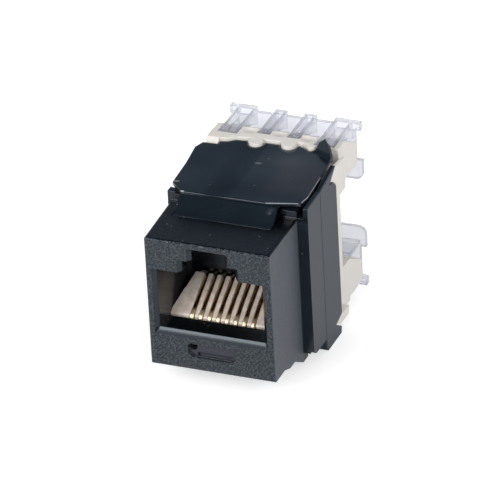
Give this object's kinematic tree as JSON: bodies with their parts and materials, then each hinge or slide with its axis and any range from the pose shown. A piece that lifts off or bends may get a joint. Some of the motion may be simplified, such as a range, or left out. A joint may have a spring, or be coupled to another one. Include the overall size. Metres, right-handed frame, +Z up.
{
  "type": "keystone jack",
  "caption": "Snap-in network outlet with a stepped plug port, sprung contact wires, a finger release latch and insulation displacement terminals under clear caps.",
  "frame": {"origin": "middle of the foot ledge under the rear half of the housing, where the jack rests on a table", "axes": "+Y from the port face to the rear, +Z up from the foot ledge to the release latch, +X to the right seen from the port face"},
  "size_m": [0.0166, 0.0274, 0.0218],
  "materials": {
    "housing_black": "black moulded plastic with a fine texture",
    "latch_gloss": "smooth blue-black moulded plastic",
    "cream_plastic": "cream moulded plastic",
    "gold_plate": "gold plated spring wire",
    "board_green": "green solder mask",
    "tinned_bronze": "bronze terminal blades",
    "clear_plastic": "clear moulded plastic"
  },
  "bodies": {
    "jack": {"jack_housing": "housing_black", "contact_comb": "cream_plastic", "circuit_board": "board_green", "terminal_housing": "cream_plastic", "idc_contact_1": "tinned_bronze", "idc_contact_2": "tinned_bronze", "idc_contact_3": "tinned_bronze", "idc_contact_4": "tinned_bronze", "idc_contact_5": "tinned_bronze", "idc_contact_6": "tinned_bronze", "idc_contact_7": "tinned_bronze", "idc_contact_8": "tinned_bronze"},
    "latch": {"release_latch": "latch_gloss"},
    "upper_cap": {"upper_wire_cap": "clear_plastic"},
    "lower_cap": {"lower_wire_cap": "clear_plastic"},
    "wire_1": {"contact_wire_1": "gold_plate"},
    "wire_2": {"contact_wire_2": "gold_plate"},
    "wire_3": {"contact_wire_3": "gold_plate"},
    "wire_4": {"contact_wire_4": "gold_plate"},
    "wire_5": {"contact_wire_5": "gold_plate"},
    "wire_6": {"contact_wire_6": "gold_plate"},
    "wire_7": {"contact_wire_7": "gold_plate"},
    "wire_8": {"contact_wire_8": "gold_plate"}
  },
  "joints": [
    {"name": "latch_press", "type": "hinge", "parent": "jack", "child": "latch", "pos_m": [0, -0.00875, 0.01825], "axis": [-1, 0, 0], "range_deg": [0, 3.5], "stiffness_Nm_per_rad": 0.3},
    {"name": "upper_cap_slide", "type": "slide", "parent": "jack", "child": "upper_cap", "axis": [0, 1, 0], "range_m": [0, 0.009]},
    {"name": "lower_cap_slide", "type": "slide", "parent": "jack", "child": "lower_cap", "axis": [0, 1, 0], "range_m": [0, 0.009]},
    {"name": "wire_1_press", "type": "hinge", "parent": "jack", "child": "wire_1", "pos_m": [-0.00356, -0.00432, 0.00975], "axis": [1, 0, 0], "range_deg": [0, 5], "stiffness_Nm_per_rad": 0.01},
    {"name": "wire_2_press", "type": "hinge", "parent": "jack", "child": "wire_2", "pos_m": [-0.00254, -0.00432, 0.00975], "axis": [1, 0, 0], "range_deg": [0, 5], "stiffness_Nm_per_rad": 0.01},
    {"name": "wire_3_press", "type": "hinge", "parent": "jack", "child": "wire_3", "pos_m": [-0.00152, -0.00432, 0.00975], "axis": [1, 0, 0], "range_deg": [0, 5], "stiffness_Nm_per_rad": 0.01},
    {"name": "wire_4_press", "type": "hinge", "parent": "jack", "child": "wire_4", "pos_m": [-0.00051, -0.00432, 0.00975], "axis": [1, 0, 0], "range_deg": [0, 5], "stiffness_Nm_per_rad": 0.01},
    {"name": "wire_5_press", "type": "hinge", "parent": "jack", "child": "wire_5", "pos_m": [0.00051, -0.00432, 0.00975], "axis": [1, 0, 0], "range_deg": [0, 5], "stiffness_Nm_per_rad": 0.01},
    {"name": "wire_6_press", "type": "hinge", "parent": "jack", "child": "wire_6", "pos_m": [0.00152, -0.00432, 0.00975], "axis": [1, 0, 0], "range_deg": [0, 5], "stiffness_Nm_per_rad": 0.01},
    {"name": "wire_7_press", "type": "hinge", "parent": "jack", "child": "wire_7", "pos_m": [0.00254, -0.00432, 0.00975], "axis": [1, 0, 0], "range_deg": [0, 5], "stiffness_Nm_per_rad": 0.01},
    {"name": "wire_8_press", "type": "hinge", "parent": "jack", "child": "wire_8", "pos_m": [0.00356, -0.00432, 0.00975], "axis": [1, 0, 0], "range_deg": [0, 5], "stiffness_Nm_per_rad": 0.01}
  ],
  "couplings": [
    {"joint": "wire_2_press", "follows": "wire_1_press", "ratio": 1},
    {"joint": "wire_3_press", "follows": "wire_1_press", "ratio": 1},
    {"joint": "wire_4_press", "follows": "wire_1_press", "ratio": 1},
    {"joint": "wire_5_press", "follows": "wire_1_press", "ratio": 1},
    {"joint": "wire_6_press", "follows": "wire_1_press", "ratio": 1},
    {"joint": "wire_7_press", "follows": "wire_1_press", "ratio": 1},
    {"joint": "wire_8_press", "follows": "wire_1_press", "ratio": 1}
  ]
}
